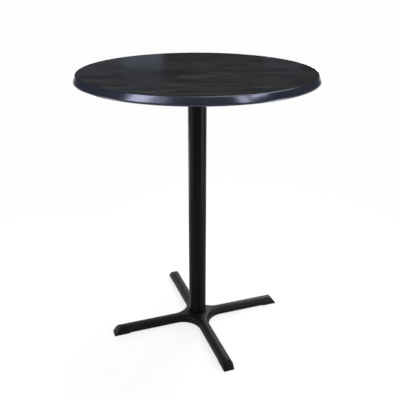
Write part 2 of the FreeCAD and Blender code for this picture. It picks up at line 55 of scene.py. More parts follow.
LOG = logging.getLogger("bar_table")
WHITE = (1.0, 1.0, 1.0, 1.0)
UP = Vector((0.0, 0.0, 1.0))
ORIGIN = (0.0, 0.0, 0.0)
ARM_WAYS = (Vector((1, 0, 0)), Vector((0, 1, 0)), Vector((-1, 0, 0)), Vector((0, -1, 0)))
HEX_SIDES = 6
NEAR = 1e-5
MERGE_DISTANCE = 2e-6
CUT_DISTANCE = 1e-7
CREASE_ANGLE = math.radians(32.0)


class Body(Enum):
    """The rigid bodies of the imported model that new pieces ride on."""

    TABLE = "table"
    FRONT_STUD = "front_stud"
    RIGHT_STUD = "right_stud"
    BACK_STUD = "back_stud"
    LEFT_STUD = "left_stud"


class Slot(Enum):
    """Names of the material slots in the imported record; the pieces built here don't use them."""

    EDGE = "edge_moulding"
    STEEL = "plated_steel"
    IRON = "black_iron"


class Wire:
    """An output socket that takes part in Python expressions."""

    def __init__(self, paint: "Paint", socket: Optional[bpy.types.NodeSocket]) -> None:
        """Keep the socket and the paint it belongs to."""
        self.paint = paint
        self.socket = socket

    def _math(self, operation: str, first: Number, second: Number) -> "Wire":
        """Return the result of a Math node on two numbers or wires."""
        return self.paint.node("ShaderNodeMath", {"operation": operation}, {0: first, 1: second})

    def __add__(self, other: Number) -> "Wire":
        """Return the sum."""
        return self._math("ADD", self, other)

    def __radd__(self, other: Number) -> "Wire":
        """Return the sum with a plain number first."""
        return self._math("ADD", other, self)

    def __sub__(self, other: Number) -> "Wire":
        """Return the difference."""
        return self._math("SUBTRACT", self, other)

    def __rsub__(self, other: Number) -> "Wire":
        """Return the difference from a plain number."""
        return self._math("SUBTRACT", other, self)

    def __mul__(self, other: Number) -> "Wire":
        """Return the product."""
        return self._math("MULTIPLY", self, other)

    def __rmul__(self, other: Number) -> "Wire":
        """Return the product with a plain number first."""
        return self._math("MULTIPLY", other, self)


@dataclass(frozen=True)
class Pattern:
    """A noise pattern: how fine it is along each axis and overall, and how it is broken up."""

    stretch: Triple = (1.0, 1.0, 1.0)
    scale: float = 1.0
    detail: float = 3.0
    roughness: float = 0.5
    bend: float = 0.0


@dataclass(frozen=True)
class Relief:
    """How deep a pattern is pressed into a surface, in metres, and how strongly it shows."""

    depth: float
    strength: float


class Paint:
    """A node material while it is being put together."""

    def __init__(self, tree: bpy.types.NodeTree) -> None:
        """Empty the node tree and keep it."""
        self.tree = tree
        self.tree.nodes.clear()

    def node(
        self,
        kind: str,
        settings: Optional[Mapping[str, Any]] = None,
        inputs: Optional[Mapping[Union[str, int], Any]] = None,
        output: Union[str, int] = 0,
    ) -> Wire:
        """Add any node.

        Args:
            kind: The node's type.
            settings: Properties of the node, with the band of a ramp under "band".
            inputs: Values or wires for its sockets, by name or index.
            output: The output socket to return.

        Returns:
            The chosen output as a wire, which is empty for a node without outputs.
        """
        made = self.tree.nodes.new(kind)
        for key, setting in (settings or {}).items():
            if key == "band":
                self._set_band(made.color_ramp, setting)
            else:
                setattr(made, key, setting)
        for key, given in (inputs or {}).items():
            if isinstance(given, Wire):
                self.tree.links.new(given.socket, made.inputs[key])
            else:
                made.inputs[key].default_value = given
        return Wire(self, made.outputs[output] if made.outputs else None)

    @staticmethod
    def _set_band(ramp: bpy.types.ColorRamp, band: Point) -> None:
        """Let a ramp rise from black to white.

        Args:
            ramp: The ramp, with its two stops.
            band: Where the rise starts and ends.
        """
        for element, place, level in zip(ramp.elements, band, (0.0, 1.0)):
            element.position = place
            element.color = (level, level, level, 1.0)

    def place(self, stretch: Triple = (1.0, 1.0, 1.0), turn: float = 0.0) -> Wire:
        """Find the place on the object.

        Args:
            stretch: The scale of each axis.
            turn: The angle about Z, taken before the scale.

        Returns:
            Object coordinates, turned and scaled.
        """
        kind = {"vector_type": "POINT"}
        flat = self.node("ShaderNodeTexCoord", output="Object")
        turned = self.node("ShaderNodeMapping", kind, {0: flat, 2: (0.0, 0.0, turn)})
        return self.node("ShaderNodeMapping", kind, {0: turned, 3: stretch})

    def noise(self, pattern: Pattern, turn: float = 0.0) -> Wire:
        """Lay a noise pattern over the object.

        Args:
            pattern: What the noise looks like.
            turn: The angle about Z by which it is turned.

        Returns:
            A level from 0 to 1.
        """
        inputs = {
            "Vector": self.place(pattern.stretch, turn), "Scale": pattern.scale, "Detail": pattern.detail,
            "Roughness": pattern.roughness, "Distortion": pattern.bend,
        }
        return self.node("ShaderNodeTexNoise", {"noise_dimensions": "3D"}, inputs)

    def ramp(self, level: Wire, band: Point) -> Wire:
        """Return a level that rises from 0 to 1 over a band of another."""
        return self.node("ShaderNodeValToRGB", {"band": band}, {0: level})

    def smooth(self, level: Wire, band: Point, ends: Point = (0.0, 1.0)) -> Wire:
        """Return a level that goes smoothly between two ends over a band of another."""
        inputs = {"Value": level, 1: band[0], 2: band[1], 3: ends[0], 4: ends[1]}
        return self.node("ShaderNodeMapRange", {"interpolation_type": "SMOOTHSTEP"}, inputs)

    def mix(self, share: Number, first: Union[Wire, Colour], second: Union[Wire, Colour]) -> Wire:
        """Return a colour between two others."""
        settings = {"data_type": "RGBA", "clamp_factor": True}
        return self.node("ShaderNodeMix", settings, {0: share, 6: first, 7: second}, output=2)

    def bump(self, height: Wire, relief: Relief, under: Optional[Wire] = None) -> Wire:
        """Press a pattern into the surface.

        Args:
            height: The pattern.
            relief: Its depth and strength.
            under: The normal that it lies on, where there is one.

        Returns:
            The new normal.
        """
        inputs = {"Strength": relief.strength, "Distance": relief.depth, "Height": height}
        if under:
            inputs["Normal"] = under
        return self.node("ShaderNodeBump", None, inputs)


@dataclass(frozen=True)
class Finish:
    """What every finish has: a name, a shine that is the same all over, and a range of roughness."""

    name: str
    specular: float = 0.5
    tint: Colour = WHITE
    roughness: Point = (0.4, 0.6)

    def material(self) -> bpy.types.Material:
        """Make the material.

        Returns:
            The finished node material.
        """
        made = bpy.data.materials.new(self.name)
        made.use_nodes = True
        self.paint(Paint(made.node_tree))
        return made

    def paint(self, paint: Paint) -> None:
        """Lay out the nodes. Every finish has its own way."""
        raise NotImplementedError

    def uneven(self, first: Wire, second: Wire, share: float = 0.5) -> Wire:
        """Let the roughness vary with two patterns.

        Args:
            first: The pattern that has the given share.
            second: The pattern that has the rest.
            share: The first pattern's share.

        Returns:
            The roughness.
        """
        low, high = self.roughness
        return low + (high - low) * (share * first + (1.0 - share) * second)

    def coat(self, paint: Paint, colour: Wire, roughness: Wire, normal: Wire, metallic: float = 0.0) -> None:
        """End the material with a Principled shader.

        Args:
            paint: The material.
            colour: The base colour.
            roughness: The roughness.
            normal: The normal.
            metallic: 1 for bare metal.
        """
        inputs = {
            "Base Color": colour, "Roughness": roughness, "Normal": normal, "Metallic": metallic,
            "Specular IOR Level": self.specular, "Specular Tint": self.tint,
        }
        shader = paint.node("ShaderNodeBsdfPrincipled", None, inputs)
        paint.node("ShaderNodeOutputMaterial", {"target": "ALL"}, {"Surface": shader})


@dataclass(frozen=True)
class StreakedLaminate(Finish):
    """Charcoal laminate with smoky streaks and a fine grain that run the same way."""

    roughness: Point = (0.10, 0.22)
    dark: Colour = (0.0040, 0.0043, 0.0048, 1.0)
    light: Colour = (0.0178, 0.0183, 0.0191, 1.0)
    wisp_colour: Colour = (0.0540, 0.0530, 0.0460, 1.0)
    turn: float = math.radians(19.3)
    cloud: Pattern = Pattern((2.6, 12.0, 1.0), detail=6.0, roughness=0.62, bend=0.8)
    cloud_band: Point = (0.32, 0.68)
    cloud_share: float = 0.6
    wisp: Pattern = Pattern((4.5, 26.0, 1.0), detail=6.0, roughness=0.62, bend=1.4)
    wisp_band: Point = (0.47, 0.66)
    wisp_strength: float = 0.8
    grain: Pattern = Pattern((26.0, 420.0, 1.0), roughness=0.6)
    grain_bite: float = 0.65
    pores: Relief = Relief(0.00012, 0.25)

    def paint(self, paint: Paint) -> None:
        """Mix clouds, wisps and grain that are all drawn out along the streaks.

        Args:
            paint: The material.
        """
        cloud = paint.noise(self.cloud, self.turn)
        wisp = paint.noise(self.wisp, self.turn)
        grain = paint.noise(self.grain, self.turn)
        broken = (1.0 - self.grain_bite) + self.grain_bite * grain
        wisp_share = paint.ramp(wisp, self.wisp_band) * broken
        ground = paint.mix(paint.ramp(cloud, self.cloud_band), self.dark, self.light)
        colour = paint.mix(wisp_share * self.wisp_strength, ground, self.wisp_colour)
        roughness = self.uneven(cloud, grain, self.cloud_share)
        self.coat(paint, colour, roughness, paint.bump(grain, self.pores))


@dataclass(frozen=True)
class GlossMoulding(Finish):
    """Blue-black moulded edge with faint run lines round it and soft smudges."""

    roughness: Point = (0.16, 0.23)
    base: Colour = (0.0120, 0.0138, 0.0210, 1.0)
    worn: Colour = (0.0200, 0.0225, 0.0320, 1.0)
    lines: Pattern = Pattern((1.5, 1.5, 900.0), detail=2.0)
    smudge: Pattern = Pattern(scale=14.0, detail=4.0, roughness=0.6)
    smudge_band: Point = (0.45, 0.75)
    smudge_share: float = 0.7
    wear: float = 0.6
    skin: Relief = Relief(0.00006, 0.35)

    def paint(self, paint: Paint) -> None:
        """Draw lines along the edge by height, and let smudges dull them.

        Args:
            paint: The material.
        """
        lines = paint.noise(self.lines)
        smudge = paint.noise(self.smudge)
        colour = paint.mix(paint.ramp(smudge, self.smudge_band) * self.wear, self.base, self.worn)
        roughness = self.uneven(smudge, lines, self.smudge_share)
        self.coat(paint, colour, roughness, paint.bump(lines, self.skin))


@dataclass(frozen=True)
class PowderCoat(Finish):
    """Black powder coat, dimpled by its own flow, over smooth tube or a lumpy casting."""

    roughness: Point = (0.32, 0.42)
    base: Colour = (0.0012, 0.0012, 0.0012, 1.0)
    dust: Colour = (0.0034, 0.0034, 0.0034, 1.0)
    dust_band: Point = (0.40, 0.70)
    patch: Pattern = Pattern(scale=9.0, detail=4.0, roughness=0.6)
    patch_share: float = 0.6
    dimples: Pattern = Pattern(scale=1.0 / 0.0016, detail=2.0)
    dimple_relief: Relief = Relief(0.00006, 0.5)
    lumps: Pattern = Pattern(scale=1.0 / 0.009, detail=4.0, roughness=0.6)
    lump_relief: Optional[Relief] = None

    def paint(self, paint: Paint) -> None:
        """Lay fine dimples over the lumps of the metal below.

        Args:
            paint: The material.
        """
        dimples = paint.noise(self.dimples)
        patch = paint.noise(self.patch)
        dusty = patch * self.patch_share + dimples * (1.0 - self.patch_share)
        colour = paint.mix(paint.ramp(dusty, self.dust_band), self.base, self.dust)
        normal = paint.bump(dimples, self.dimple_relief)
        if self.lump_relief:
            normal = paint.bump(paint.noise(self.lumps), self.lump_relief, under=normal)
        self.coat(paint, colour, self.uneven(patch, dimples), normal)


@dataclass(frozen=True)
class ZincPlate(Finish):
    """Bright zinc plating with a faint yellow and blue passivation."""

    roughness: Point = (0.26, 0.44)
    cool: Colour = (0.56, 0.58, 0.61, 1.0)
    warm: Colour = (0.60, 0.57, 0.48, 1.0)
    drift: Pattern = Pattern(scale=60.0, roughness=0.55)
    drift_band: Point = (0.35, 0.65)
    spangle: Pattern = Pattern(scale=1400.0, detail=2.0)
    spangle_relief: Relief = Relief(0.00003, 0.4)

    def paint(self, paint: Paint) -> None:
        """Let the passivation drift over fine spangle.

        Args:
            paint: The material.
        """
        drift = paint.noise(self.drift)
        spangle = paint.noise(self.spangle)
        colour = paint.mix(paint.ramp(drift, self.drift_band), self.cool, self.warm)
        normal = paint.bump(spangle, self.spangle_relief)
        self.coat(paint, colour, self.uneven(drift, spangle), normal, metallic=1.0)


@dataclass(frozen=True)
class GrainedPlastic(Finish):
    """Plain moulded or pressed plastic with a fine grain."""

    roughness: Point = (0.48, 0.62)
    base: Colour = (0.0110, 0.0110, 0.0115, 1.0)
    scuffed: Colour = (0.0260, 0.0260, 0.0265, 1.0)
    grain: Pattern = Pattern(scale=1.0 / 0.0009, detail=2.0, roughness=0.55)
    grain_relief: Relief = Relief(0.00005, 0.5)
    scuff: Pattern = Pattern(scale=38.0, detail=5.0, roughness=0.65)
    scuff_band: Point = (0.50, 0.78)

    def paint(self, paint: Paint) -> None:
        """Grain the surface and scuff it in patches.

        Args:
            paint: The material.
        """
        grain = paint.noise(self.grain)
        scuff = paint.noise(self.scuff)
        colour = paint.mix(paint.ramp(scuff, self.scuff_band), self.base, self.scuffed)
        self.coat(paint, colour, self.uneven(grain, scuff), paint.bump(grain, self.grain_relief))


@dataclass(frozen=True)
class WoodFibre(Finish):
    """Raw pressed wood fibre."""

    roughness: Point = (0.75, 0.90)
    pale: Colour = (0.300, 0.205, 0.120, 1.0)
    brown: Colour = (0.130, 0.080, 0.045, 1.0)
    fibre: Pattern = Pattern((1.0, 1.0, 3.0), scale=320.0, detail=5.0, roughness=0.7)
    fibre_band: Point = (0.35, 0.65)
    fibre_relief: Relief = Relief(0.0002, 0.5)

    def paint(self, paint: Paint) -> None:
        """Fleck the board with fibres.

        Args:
            paint: The material.
        """
        fibre = paint.noise(self.fibre)
        colour = paint.mix(paint.ramp(fibre, self.fibre_band), self.brown, self.pale)
        self.coat(paint, colour, self.uneven(fibre, fibre), paint.bump(fibre, self.fibre_relief))


def add_object(name: str, data: bpy.types.ID) -> bpy.types.Object:
    """Add an object to the scene.

    Args:
        name: Its name.
        data: Its mesh, light or camera.

    Returns:
        The object, at the origin.
    """
    made = bpy.data.objects.new(name, data)
    bpy.context.scene.collection.objects.link(made)
    return made


def level_way(angle: float) -> Vector:
    """Return the level direction at an angle about Z."""
    return Vector((math.cos(angle), math.sin(angle), 0.0))


class Shape:
    """A bmesh that grows into one named piece."""

    def __init__(self) -> None:
        """Start with an empty mesh."""
        self.mesh = bmesh.new()

    def ring(self, radius: float, height: float, segments: int, centre: Point = (0.0, 0.0)) -> Edges:
        """Add a level circle.

        Args:
            radius: Its radius.
            height: Its level.
            segments: How many edges it has.
            centre: Where its axis stands.

        Returns:
            Its edges.
        """
        place = Matrix.Translation((centre[0], centre[1], height))
        made = bmesh.ops.create_circle(self.mesh, segments=segments, radius=radius, matrix=place)
        return list({edge for vert in made["verts"] for edge in vert.link_edges})

    def climb(self, edges: Edges, steps: Sequence[Point], centre: Point = (0.0, 0.0)) -> Edges:
        """Extrude a circle's edges through rings given by radius and height.

        Args:
            edges: The circle's edges.
            steps: Radius and height of each ring that follows.
            centre: Where the circle's axis stands.

        Returns:
            The edges of the last ring.
        """
        for radius, height in steps:
            made = bmesh.ops.extrude_edge_only(self.mesh, edges=edges)["geom"]
            verts = self.verts_of(made)
            edges = [item for item in self.edges_of(made) if all(vert in verts for vert in item.verts)]
            axis = Vector((centre[0], centre[1], verts[0].co.z))
            share = radius / (verts[0].co - axis).length
            about = Matrix.Translation(-axis)
            bmesh.ops.scale(self.mesh, vec=(share, share, 1.0), space=about, verts=verts)
            bmesh.ops.translate(self.mesh, vec=UP * (height - axis.z), verts=verts)
        return edges

    @staticmethod
    def verts_of(geometry: Geometry) -> Verts:
        """Return the verts among mixed geometry."""
        return [item for item in geometry if isinstance(item, bmesh.types.BMVert)]

    @staticmethod
    def edges_of(geometry: Geometry) -> Edges:
        """Return the edges among mixed geometry."""
        return [item for item in geometry if isinstance(item, bmesh.types.BMEdge)]

    def everything(self) -> Geometry:
        """Return all the verts, edges and faces."""
        return [*self.mesh.verts, *self.mesh.edges, *self.mesh.faces]

    def outline(self, corners: Sequence[Sequence[float]]) -> bmesh.types.BMFace:
        """Add a flat face through the given corners."""
        verts = [self.mesh.verts.new(corner) for corner in corners]
        return bmesh.ops.contextual_create(self.mesh, geom=verts)["faces"][0]

    def round_corner(self, vert: bmesh.types.BMVert, radius: float, segments: int) -> None:
        """Round one corner of an outline, with the radius measured along its edges."""
        self._bevel([vert], radius, segments, "VERTICES")

    def round_edges(self, edges: Edges, width: float, segments: int) -> None:
        """Round edges of the shape."""
        self._bevel(list(edges), width, segments, "EDGES")

    def _bevel(self, geometry: Geometry, width: float, segments: int, affect: str) -> None:
        """Bevel verts or edges to a round profile."""
        bmesh.ops.bevel(
            self.mesh, geom=geometry, offset=width, offset_type="OFFSET", affect=affect, segments=segments,
            profile=0.5, material=-1, clamp_overlap=True,
        )

    def fill(self, edges: Edges, normal: Vector = UP) -> None:
        """Fill a level area between an outer loop and the loops inside it."""
        bmesh.ops.triangle_fill(self.mesh, use_beauty=True, edges=edges, normal=normal)

    def cap(self, edges: Edges) -> None:
        """Close one loop with a face."""
        bmesh.ops.contextual_create(self.mesh, geom=edges)

    def turn(self, geometry: Geometry, steps: int) -> None:
        """Turn a section once about the vertical axis and close it."""
        bmesh.ops.spin(
            self.mesh, geom=geometry, cent=ORIGIN, axis=UP, angle=math.tau, steps=steps, use_merge=True,
        )

    def cut(self, point: Vector, normal: Vector, clear: bool = False) -> Edges:
        """Cut the whole shape with a plane.

        Args:
            point: A point of the plane.
            normal: The plane's direction.
            clear: Whether what lies beyond the plane goes.

        Returns:
            The edges of the cut.
        """
        made = bmesh.ops.bisect_plane(
            self.mesh, geom=self.everything(), dist=CUT_DISTANCE, plane_co=point, plane_no=normal,
            clear_outer=clear,
        )
        return self.edges_of(made["geom_cut"])

    def open_face(self, face: bmesh.types.BMFace) -> Edges:
        """Take a face away.

        Args:
            face: The face.

        Returns:
            The edges of the hole.
        """
        edges = list(face.edges)
        bmesh.ops.delete(self.mesh, geom=[face], context="FACES_ONLY")
        return edges

    def raise_faces(self, faces: Sequence[bmesh.types.BMFace], height: float) -> Geometry:
        """Extrude faces upward.

        Args:
            faces: The faces, which stay where they are.
            height: How far their copies rise.

        Returns:
            The raised geometry.
        """
        raised = bmesh.ops.extrude_face_region(self.mesh, geom=faces)["geom"]
        self.shift(self.verts_of(raised), UP * height)
        return raised

    def shift(self, verts: Verts, by: Sequence[float]) -> None:
        """Move verts."""
        bmesh.ops.translate(self.mesh, vec=Vector(by), verts=list(verts))

    def sharp_edges(self, angle: float) -> Edges:
        """Return the edges that turn by more than an angle."""
        return [edge for edge in self.mesh.edges if edge.is_manifold and edge.calc_face_angle() > angle]

    def finish(
        self, name: str, body: Body, material: bpy.types.Material, nodes: Sequence[str],
    ) -> None:
        """Turn the shape into a piece.

        Args:
            name: The piece's name.
            body: The body it rides on.
            material: Its material.
            nodes: The CAD nodes it stands for.
        """
        bmesh.ops.remove_doubles(self.mesh, verts=list(self.mesh.verts), dist=MERGE_DISTANCE)
        bmesh.ops.recalc_face_normals(self.mesh, faces=list(self.mesh.faces))
        data = bpy.data.meshes.new(name)
        self.mesh.to_mesh(data)
        self.mesh.free()
        data.polygons.foreach_set("use_smooth", [True] * len(data.polygons))
        data.set_sharp_from_angle(angle=CREASE_ANGLE)
        data.materials.append(material)
        piece = add_object(name, data)
        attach(piece, body.value)
        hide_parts(*nodes)
        LOG.info("%s: %d faces on %s", name, len(data.polygons), body.value)


def dress(material: bpy.types.Material, *nodes: str) -> None:
    """Give CAD nodes a material in place of their plain one.

    Args:
        material: The material.
        nodes: The names of the nodes.
    """
    for node in nodes:
        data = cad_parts[node].data
        data.materials.clear()
        data.materials.append(material)
        LOG.info("%s: dressed in %s", node, material.name)


@dataclass
class TableTop:
    """The round top: board, laminates and the moulded edge."""

    sheet_radius: float = 0.4410
    glue_gap: float = 0.0001
    shoulder_radius: float = 0.4450
    wide_radius: float = 0.4572
    top: float = 1.1000
    bottom: float = 1.0714
    wide_height: float = 1.0784
    corner_radius: float = 0.0030
    bead_radius: float = 0.0050
    flank_radius: float = 0.0060
    round_segments: int = 6
    tongue_depth: float = 0.0080
    tongue_low: float = 1.0856
    tongue_high: float = 1.0904
    steps: int = 288

    def build(self, moulding: Finish) -> None:
        """Build the moulded edge as one turned section with its tongue.

        Args:
            moulding: The finish of the edge.
        """
        shape = Shape()
        inner = self.sheet_radius + self.glue_gap
        tongue = inner - self.tongue_depth
        section = [
            (inner, self.bottom), (self.wide_radius, self.bottom), (self.wide_radius, self.wide_height),
            (self.shoulder_radius, self.top), (inner, self.top), (inner, self.tongue_high),
            (tongue, self.tongue_high), (tongue, self.tongue_low), (inner, self.tongue_low),
        ]
        face = shape.outline([(radius, 0.0, height) for radius, height in section])
        bead, flank, corner = face.verts[1:4]
        rounds = ((bead, self.bead_radius), (flank, self.flank_radius), (corner, self.corner_radius))
        for vert, radius in rounds:
            shape.round_corner(vert, radius, self.round_segments)
        edges = shape.open_face(shape.mesh.faces[:][0])
        shape.turn([*shape.mesh.verts, *edges], self.steps)
        shape.finish("moulded_edge", Body.TABLE, moulding.material(), ["edge_band"])

    @staticmethod
    def dress(decor: Finish, balance: Finish, board: Finish) -> None:
        """Dress the sheets and the board between them.

        Args:
            decor: The finish of the upper sheet.
            balance: The finish of the lower sheet.
            board: The finish of the board.
        """
        dress(decor.material(), "top_sheet")
        dress(balance.material(), "underside_sheet")
        dress(board.material(), "top_core")


@dataclass
class CrossBase:
    """The cast cross base: crowned arms, blended hub, collar, hollow underside and leveller seats."""

    reach: float = 0.3810
    half_width: float = 0.0220
    crown_top: float = 0.0350
    crown_radius: float = 0.0180
    crown_segments: int = 9
    blend_radius: float = 0.0800
    blend_segments: int = 20
    tip_inset: float = 0.0250
    underside: float = 0.0050
    pad_face: float = 0.0015
    pad_start: float = 0.3180
    pad_slope: float = 0.0080
    wall: float = 0.0080
    web_face: float = 0.0243
    rod_hole: float = 0.0064
    socket_radius: float = 0.0368
    socket_chamfer: float = 0.0004
    collar_radius: float = 0.0418
    collar_top: float = 0.0390
    collar_segments: int = 72
    collar_fillet: float = 0.0020
    fillet_middle: float = 0.0006
    collar_round: float = 0.0015
    round_middle: float = 0.0004
    seat_place: float = 0.3450
    seat_radius: float = 0.0145
    seat_segments: int = 48
    seat_ceiling: float = 0.01046
    stud_hole: float = 0.00405
    stud_hole_end: float = 0.0290
    soft_edge: float = 0.0012
    soft_segments: int = 3
    soft_angle: float = math.radians(28.0)
    level_share: float = 0.999
    spare: float = 0.0200

    def build(self, coat: bpy.types.Material) -> None:
        """Build the casting from its plan outline.

        Args:
            coat: The material.
        """
        shape = Shape()
        self._raise_arms(shape)
        self._cut_tips(shape)
        self._drop_pads(shape)
        shape.round_edges(shape.sharp_edges(self.soft_angle), self.soft_edge, self.soft_segments)
        ceiling = self._hollow(shape)
        self._raise_collar(shape, ceiling)
        self._sink_seats(shape)
        shape.finish("cross_base", Body.TABLE, coat, ["base_casting"])

    @staticmethod
    def _from_axis(place: Vector) -> float:
        """Return how far a place lies from the column's axis, along the arm it is on."""
        return max(abs(place.x), abs(place.y))

    def _raise_arms(self, shape: Shape) -> None:
        """Draw the cross, blend its inner corners, raise it and round the crown.

        Args:
            shape: The shape to build in.
        """
        long_reach = self.reach + self.spare
        corners = []
        for way in ARM_WAYS:
            side = UP.cross(way) * self.half_width
            corners += [way * long_reach - side, way * long_reach + side, way * self.half_width + side]
        face = shape.outline([corner + UP * self.underside for corner in corners])
        crotches = [vert for vert in face.verts if self._from_axis(vert.co) < self.half_width + NEAR]
        for crotch in crotches:
            shape.round_corner(crotch, self.blend_radius, self.blend_segments)
        shape.raise_faces(shape.mesh.faces[:], self.crown_top - self.underside)
        bmesh.ops.recalc_face_normals(shape.mesh, faces=shape.mesh.faces[:])
        crown = [edge for edge in shape.mesh.edges if self._on_crown(edge, long_reach)]
        shape.round_edges(crown, self.crown_radius, self.crown_segments)

    def _on_crown(self, edge: bmesh.types.BMEdge, long_reach: float) -> bool:
        """Tell whether an edge bounds the top and isn't at an arm's end.

        Args:
            edge: The edge.
            long_reach: How far the arms go before their tips are cut.

        Returns:
            Whether it does.
        """
        level = all(math.isclose(vert.co.z, self.crown_top, abs_tol=NEAR) for vert in edge.verts)
        middle = (edge.verts[0].co + edge.verts[1].co) / 2
        return level and self._from_axis(middle) < long_reach - NEAR

    def _cut_tips(self, shape: Shape) -> None:
        """Cut each arm's end to a slope, foot outward.

        Args:
            shape: The shape to build in.
        """
        rise = self.crown_top - self.pad_face
        for way in ARM_WAYS:
            normal = (way * rise + UP * self.tip_inset).normalized()
            edges = shape.cut(way * self.reach + UP * self.pad_face, normal, clear=True)
            shape.cap(edges)

    def _drop_pads(self, shape: Shape) -> None:
        """Lower the underside of the tips to foot pads.

        Args:
            shape: The shape to build in.
        """
        for way in ARM_WAYS:
            for place in (self.pad_start - self.pad_slope, self.pad_start):
                shape.cut(way * place, way)
        low = [vert for vert in shape.mesh.verts if vert.co.z < self.underside + NEAR]
        pads = [vert for vert in low if self._from_axis(vert.co) > self.pad_start - NEAR]
        drop = self.pad_face - self.underside
        lean = self.tip_inset / (self.crown_top - self.pad_face)
        for way in ARM_WAYS:
            tip = [vert for vert in pads if vert.co.dot(way) > self.pad_start + self.pad_slope]
            shape.shift(tip, way * (-drop * lean))
        shape.shift(pads, UP * drop)

    def _face_at(self, shape: Shape, where: Sequence[float]) -> bmesh.types.BMFace:
        """Find the level face nearest to a point.

        Args:
            shape: The shape to look in.
            where: The point.

        Returns:
            The face.
        """
        point = Vector(where)
        level = [face for face in shape.mesh.faces if abs(face.normal.z) > self.level_share]
        return min(level, key=lambda face: (face.calc_center_median() - point).length)

    def _hollow(self, shape: Shape) -> Edges:
        """Hollow the cross from below.

        Args:
            shape: The shape to build in.

        Returns:
            The edges of the open ceiling.
        """
        middle = UP * self.underside
        bmesh.ops.inset_region(
            shape.mesh, faces=[self._face_at(shape, middle)], thickness=self.wall, use_even_offset=True,
            use_boundary=True,
        )
        floor = self._face_at(shape, middle)
        raised = shape.raise_faces([floor], self.web_face - self.underside)
        shape.open_face(floor)
        ceiling = next(item for item in raised if isinstance(item, bmesh.types.BMFace))
        return shape.open_face(ceiling)

    def _raise_collar(self, shape: Shape, ceiling: Edges) -> None:
        """Raise the collar from the crown, and bore the hub down to the hollow.

        Args:
            shape: The shape to build in.
            ceiling: The edges of the hollow's open ceiling.
        """
        outer, inner = self.collar_radius, self.socket_radius
        foot, top = self.crown_top, self.collar_top
        plateau = shape.open_face(self._face_at(shape, UP * foot))
        ring = shape.ring(outer + self.collar_fillet, foot, self.collar_segments)
        shape.fill([*plateau, *ring])
        steps = [
            (outer + self.fillet_middle, foot + self.fillet_middle),
            (outer, foot + self.collar_fillet),
            (outer, top - self.collar_round),
            (outer - self.round_middle, top - self.round_middle),
            (outer - self.collar_round, top),
            (inner + self.socket_chamfer, top),
            (inner, top - self.socket_chamfer),
            (inner, foot),
            (self.rod_hole, foot),
            (self.rod_hole, self.web_face),
        ]
        bore = shape.climb(ring, steps)
        shape.fill([*ceiling, *bore], -UP)

    def _sink_seats(self, shape: Shape) -> None:
        """Sink a leveller seat and a blind stud hole into each pad.

        Args:
            shape: The shape to build in.
        """
        for way in ARM_WAYS:
            centre = (way * self.seat_place).to_2d()
            edge = shape.open_face(self._face_at(shape, (centre.x, centre.y, self.pad_face)))
            ring = shape.ring(self.seat_radius, self.pad_face, self.seat_segments, centre)
            shape.fill([*edge, *ring], -UP)
            steps = [
                (self.seat_radius, self.seat_ceiling), (self.stud_hole, self.seat_ceiling),
                (self.stud_hole, self.stud_hole_end),
            ]
            shape.cap(shape.climb(ring, steps, centre))


@dataclass
class Thread:
    """A screw thread on an upright bar, with root and crest placed by shares of the pitch."""

    SPARE_TURNS: ClassVar[int] = 2

    crest: float
    depth: float
    pitch: float
    low: float
    high: float
    root_end: float = 0.25
    crest_start: float = 0.56
    crest_end: float = 0.69
    steps: int = 24

    def build(self, shape: Shape) -> None:
        """Wind one pitch of the thread's section up the bar and trim both ends.

        Args:
            shape: The shape to build in.
        """
        root = self.crest - self.depth
        section = [
            (root, 0.0), (root, self.root_end), (self.crest, self.crest_start), (self.crest, self.crest_end),
            (root, 1.0),
        ]
        start = self.low - self.pitch
        verts = [shape.mesh.verts.new((radius, 0.0, start + share * self.pitch)) for radius, share in section]
        edges = [shape.mesh.edges.new(pair) for pair in zip(verts, verts[1:])]
        turns = math.ceil((self.high - self.low) / self.pitch) + self.SPARE_TURNS
        bmesh.ops.spin(
            shape.mesh, geom=[*verts, *edges], cent=ORIGIN, axis=UP, dvec=UP * (self.pitch / self.steps),
            angle=math.tau * turns, steps=self.steps * turns, use_merge=False,
        )
        bmesh.ops.remove_doubles(shape.mesh, verts=list(shape.mesh.verts), dist=MERGE_DISTANCE)
        for height, way in ((self.low, -UP), (self.high, UP)):
            shape.cap(shape.cut(UP * height, way, clear=True))


